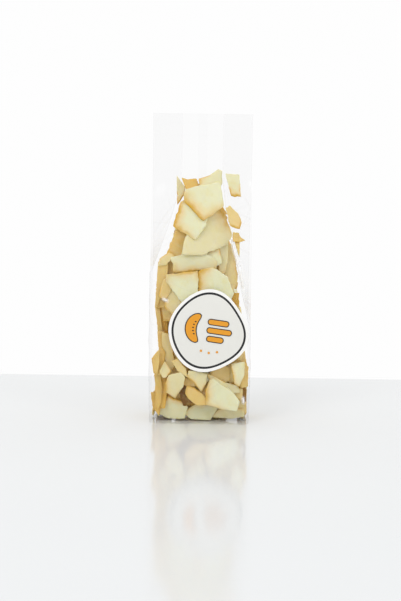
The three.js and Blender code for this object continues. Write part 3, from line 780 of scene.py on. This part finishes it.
flesh = new_material("dried_melon_flesh")
place_on = add_node(flesh, "TexCoord").outputs["Object"]
patches, fibres = [
    add_node(
        flesh,
        "TexNoise",
        {"Scale": 1 / (width * MM), "Detail": detail, "Roughness": 0.6},
        {"Vector": place_on},
    ).outputs["Fac"]
    for width, detail in ((PATCH, 4.0), (FIBRE, 3.0))
]
to_edge, golden, browning_and_shade = [
    add_node(flesh, "Attribute", {"attribute_name": name}).outputs["Fac"]
    for name in ("to_edge", "golden", "browning_and_shade")
]
uneven = add_node(flesh, "Math", {"operation": "MULTIPLY_ADD", 1: 0.3}, {0: patches, 2: to_edge}).outputs[0]

# How much of each colour lies over the ones before it: what it follows, where that starts to show and
# where it is full, and how much it is then.
amounts = []
for follows, low, high, most in (
    (uneven, 0.45, 1.0, 1.0),
    (browning_and_shade, 1.0, 2.0, 1.0),
    (browning_and_shade, 2.0, 3.0, 1.0),
    (patches, 0.5, 0.75, 0.4),
    (uneven, 0.88, 1.12, 1.0),
):
    settings = {"From Min": low, "From Max": high, "To Max": most}
    amounts.append(add_node(flesh, "MapRange", settings, {"Value": follows}).outputs[0])
# The peach and the golden edge lie only on the side that dried golden.
for number in (0, 4):
    links = {0: golden, 1: amounts[number]}
    amounts[number] = add_node(flesh, "Math", {"operation": "MULTIPLY"}, links).outputs[0]
colour = add_node(
    flesh, "Mix", {"data_type": "RGBA", 6: linear(PALE_FLESH), 7: linear(TAN_FLESH)}, {0: browning_and_shade}
).outputs[2]
for amount, tint in zip(amounts, (PEACH_FLESH, GOLDEN_FLESH_AND_SHADE, BROWN_FLESH_AND_SHADE, CLOUDED_FLESH, GOLDEN_EDGE)):
    colour = add_node(flesh, "Mix", {"data_type": "RGBA", 7: linear(tint)}, {0: amount, 6: colour}).outputs[2]
settings = {"Strength": 0.25, "Distance": FIBRE_HEIGHT * MM}
bump = add_node(flesh, "Bump", settings, {"Height": fibres}).outputs[0]
surface = add_node(
    flesh,
    "BsdfPrincipled",
    {"Roughness": 0.45, "IOR": 1.45, "Subsurface Weight": 0.5, "Subsurface Radius": (1.0, 0.92, 0.5),
     "Subsurface Scale": LIGHT_GOES_IN * MM},
    {"Base Color": colour, "Normal": bump},
).outputs[0]
add_node(flesh, "OutputMaterial", links={"Surface": surface})
mesh.materials.append(flesh)

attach(melon_slices, "root")
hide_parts("bag")

# The label
# A die-cut sheet of coated white paper, softly irregular and round, glued on the film. A dark ring and
# the pale grey field within it are printed on it.
LABEL_RADIUS = 39.9
LABEL_LOBES = ((2, 90, 0.018), (3, 100, 0.027), (4, 77, 0.028))
LABEL_LIFT = 0.35
LABEL_THICKNESS = 0.25
LABEL_POINTS = 144
BORDER_SHARE = 0.925
LINE_SHARE = 0.872
FIELD_SHARES = (0.72, 0.55, 0.38, 0.2)


def label_edge(angle):
    lobes = sum(share * math.cos(count * (angle - math.radians(peak))) for count, peak, share in LABEL_LOBES)
    return LABEL_RADIUS * (1 + lobes)


def on_film(across, up, lift):
    """A place on the front film, lifted off it."""
    depth = float(panel_depth(np.float64(across), np.float64(up)))
    return Vector((across, MIDDLE_Y - depth - lift, up)) * MM


bpy.ops.object.select_all(action="DESELECT")
bpy.ops.mesh.primitive_circle_add(vertices=LABEL_POINTS, radius=1, fill_type="NGON")
label = bpy.context.object
label.name = label.data.name = "paper_label"
for vertex in label.data.vertices:
    angle = math.atan2(vertex.co.y, vertex.co.x)
    vertex.co = Vector((math.cos(angle), math.sin(angle), 0)) * label_edge(angle)

# Coated paper has a soft sheen and a grain too fine to see, drawn at 0.8 mm.
PAPER = "#fdfcf9"
FIELD = "#ecebe5"
INK = "#0d0d11"
AMBER = "#eda021"
PAPER_GRAIN = 0.8
label_colours = {"label_paper": PAPER, "label_ink": INK, "label_field": FIELD, "label_amber": AMBER}
papers = {}
for name, colour in label_colours.items():
    paper = papers[name] = new_material(name)
    grain = add_node(
        paper, "TexNoise", {"Scale": 1 / (PAPER_GRAIN * MM), "Detail": 3.0},
        {"Vector": add_node(paper, "TexCoord").outputs["Object"]},
    ).outputs["Fac"]
    grained = add_node(paper, "Bump", {"Strength": 0.08, "Distance": 0.05 * MM}, {"Height": grain}).outputs[0]
    settings = {"Base Color": linear(colour), "Roughness": 0.42, "IOR": 1.5}
    coat = add_node(paper, "BsdfPrincipled", settings, {"Normal": grained}).outputs[0]
    add_node(paper, "OutputMaterial", links={"Surface": coat})
    if name != "label_amber":
        label.data.materials.append(paper)

bpy.ops.object.mode_set(mode="EDIT")
bpy.ops.mesh.select_all(action="SELECT")
outer = 1.0
for share in (BORDER_SHARE, LINE_SHARE, *FIELD_SHARES):
    bpy.ops.mesh.extrude_region_move()
    bpy.ops.transform.resize(value=(share / outer, share / outer, 1))
    outer = share
bpy.ops.mesh.poke()
bpy.ops.object.mode_set(mode="OBJECT")
for face in label.data.polygons:
    share = face.center.length / label_edge(math.atan2(face.center.y, face.center.x))
    face.material_index = 0 if share > BORDER_SHARE else 1 if share > LINE_SHARE else 2
for vertex in label.data.vertices:
    vertex.co = on_film(vertex.co.x + LABEL_CENTRE[0], vertex.co.y + LABEL_CENTRE[1], LABEL_LIFT)
label.data.flip_normals()
solidify = label.modifiers.new("thickness", "SOLIDIFY")
solidify.thickness = LABEL_THICKNESS * MM
solidify.offset = 1
bpy.ops.object.modifier_apply(modifier=solidify.name)
label.data.shade_smooth()
label.data.set_sharp_from_angle(angle=SHARP_FROM)
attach(label, "root")
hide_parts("label")

# The print
# Amber shapes with a dark outline, printed on the label: three plain bars, a melon wedge with its seeds
# beside them, and three dots below. Each is a band of ink along a line, a hair above the paper.
PRINT_TILT = -8.0
PRINT_LIFT = LABEL_LIFT + LABEL_THICKNESS + 0.03
INK_LAYER = 0.04
OUTLINE = 0.9
BAR_THICK = 4.6
WEDGE_CENTRE = (-3.0, 2.0)
WEDGE_RADIUS = 14.5
WEDGE_THICK = 10
WEDGE_START, WEDGE_END = 116, 244
SEED_RADIUS = 12.3
SEED_SIZE = (1.9, 1.1)
DOT = 2.4
PRINT_STEPS = 36


def print_band(path, half_width, colour, lift):
    """A band along a path, as thick as half_width says at each share of its length."""
    bpy.ops.object.select_all(action="DESELECT")
    bpy.ops.mesh.primitive_grid_add(x_subdivisions=PRINT_STEPS, y_subdivisions=4, size=1)
    band = bpy.context.object
    tilt = Matrix.Rotation(math.radians(PRINT_TILT), 2)
    for vertex in band.data.vertices:
        # It ends a little before the path does, so that there is always a place ahead.
        t = (vertex.co.x + 0.5 - 1e-4) * 0.9998 + 1e-4
        here, ahead = Vector(path(t)), Vector(path(t + 1e-3))
        along = (ahead - here).normalized()
        beside = Vector((-along.y, along.x))
        spot = tilt @ (here + beside * vertex.co.y * 2 * half_width(t))
        vertex.co = on_film(spot.x + LABEL_CENTRE[0], spot.y + LABEL_CENTRE[1], lift)
    bpy.ops.object.mode_set(mode="EDIT")
    bpy.ops.mesh.select_all(action="SELECT")
    bpy.ops.mesh.remove_doubles(threshold=0.02 * MM)
    bpy.ops.object.mode_set(mode="OBJECT")
    band.data.flip_normals()
    band.data.materials.append(papers[colour])
    return band


def bar(centre, length, thick):
    """The path and half width of a straight bar with round ends."""
    half = thick / 2

    def width(t):
        from_end = min(t, 1 - t) * length
        return half * math.sqrt(max(0.0, 1 - max(0.0, 1 - from_end / half) ** 2))

    return lambda t: (centre[0] + (t - 0.5) * length, centre[1]), width


def wedge(centre, radius, thick, start, end):
    """The path and half width of a melon wedge: an arc that is thickest in the middle."""

    def path(t):
        angle = math.radians(start + (end - start) * t)
        return centre[0] + radius * math.cos(angle), centre[1] + radius * math.sin(angle)

    return path, lambda t: thick / 2 * math.sqrt(max(0.0, 1 - (2 * t - 1) ** 2))


printed = []
for centre, length in (((9, 10), 20), ((11, 1.5), 24), ((8, -7), 16)):
    outlined = bar(centre, length + 2 * OUTLINE, BAR_THICK + 2 * OUTLINE)
    printed.append(print_band(*outlined, "label_ink", PRINT_LIFT))
    printed.append(print_band(*bar(centre, length, BAR_THICK), "label_amber", PRINT_LIFT + INK_LAYER))
outlined = wedge(WEDGE_CENTRE, WEDGE_RADIUS, WEDGE_THICK + 2, WEDGE_START - 4, WEDGE_END + 4)
printed.append(print_band(*outlined, "label_ink", PRINT_LIFT))
filled_in = wedge(WEDGE_CENTRE, WEDGE_RADIUS, WEDGE_THICK, WEDGE_START, WEDGE_END)
printed.append(print_band(*filled_in, "label_amber", PRINT_LIFT + INK_LAYER))
for angle in range(150, 211, 15):
    turn = math.radians(angle)
    seed = WEDGE_CENTRE[0] + SEED_RADIUS * math.cos(turn), WEDGE_CENTRE[1] + SEED_RADIUS * math.sin(turn)
    printed.append(print_band(*bar(seed, *SEED_SIZE), "label_ink", PRINT_LIFT + 2 * INK_LAYER))
for spot in ((-4, -20), (4, -21), (12, -19)):
    printed.append(print_band(*bar(spot, DOT, DOT), "label_amber", PRINT_LIFT))
bpy.ops.object.select_all(action="DESELECT")
for band in printed:
    band.select_set(True)
bpy.context.view_layer.objects.active = printed[0]
bpy.ops.object.join()
label_print = bpy.context.object
label_print.name = label_print.data.name = "label_print"
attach(label_print, "root")
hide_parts("label")

# The table
# A pale lacquered table top, whose far edge shows softly behind the bag. Lacquer gives it a faint
# mirror image of what stands on it. Sizes are in metres from here on.
TABLE_SIZE = 4.0
TABLE_BACK = 0.24
TABLE_WHITE = "#e9ebec"
bpy.ops.object.select_all(action="DESELECT")
bpy.ops.mesh.primitive_grid_add(x_subdivisions=2, y_subdivisions=2, size=TABLE_SIZE)
table = bpy.context.object
table.name = "table"
for vertex in table.data.vertices:
    vertex.co.y += TABLE_BACK - TABLE_SIZE / 2
lacquer = new_material("white_lacquer")
top_coat = add_node(
    lacquer, "BsdfPrincipled", {"Base Color": linear(TABLE_WHITE), "Roughness": 0.12, "IOR": 1.5}
).outputs[0]
add_node(lacquer, "OutputMaterial", links={"Surface": top_coat})
table.data.materials.append(lacquer)

# The studio
# A white surround that lights the bag from everywhere, a little weaker on surfaces than it looks, with a
# large soft lamp at the upper left and a weaker one at the right.
SURROUND = 0.99
WEAKER_ON_SURFACES = 0.11
world = bpy.data.worlds.new("studio")
bpy.context.scene.world = world
world.use_nodes = True
backdrop = world.node_tree.nodes["Background"].inputs
backdrop["Color"].default_value = (SURROUND, SURROUND, SURROUND, 1)
lighting = add_node(world, "LightPath").outputs["Is Diffuse Ray"]
settings = {"operation": "MULTIPLY_ADD", 1: -WEAKER_ON_SURFACES, 2: 1.0}
softened = add_node(world, "Math", settings, {0: lighting}).outputs[0]
world.node_tree.links.new(softened, backdrop["Strength"])

LAMP_AIM = Vector((0, 0, 0.14))
LAMPS = {
    "key": ((-1.7, -2.2, 2.6), 1.4, 25.0),
    "fill": ((2.4, -1.8, 1.4), 1.0, 9.0),
}
for name, (place, size, power) in LAMPS.items():
    bpy.ops.object.light_add(type="AREA", location=place)
    lamp = bpy.context.object
    lamp.name = name
    lamp.data.size = size
    lamp.data.energy = power
    lamp.rotation_euler = (LAMP_AIM - Vector(place)).to_track_quat("-Z", "Y").to_euler()

# The camera
# It stands straight in front of the bag, a little above its middle, and looks slightly down.
CAMERA_PLACE = (0.0, -1.1138, 0.2437)
CAMERA_PITCH = 6.24
CAMERA_ROLL = 0.85
FOCAL_PIXELS = 1100
IMAGE_HEIGHT = 601
bpy.ops.object.camera_add(location=CAMERA_PLACE)
camera = bpy.context.object
pitch, roll = math.radians(90 - CAMERA_PITCH), math.radians(CAMERA_ROLL)
camera.rotation_euler = (Matrix.Rotation(pitch, 3, "X") @ Matrix.Rotation(roll, 3, "Z")).to_euler()
camera.data.lens = camera.data.sensor_width * FOCAL_PIXELS / IMAGE_HEIGHT
bpy.context.scene.camera = camera
bpy.context.scene.view_settings.view_transform = "Standard"
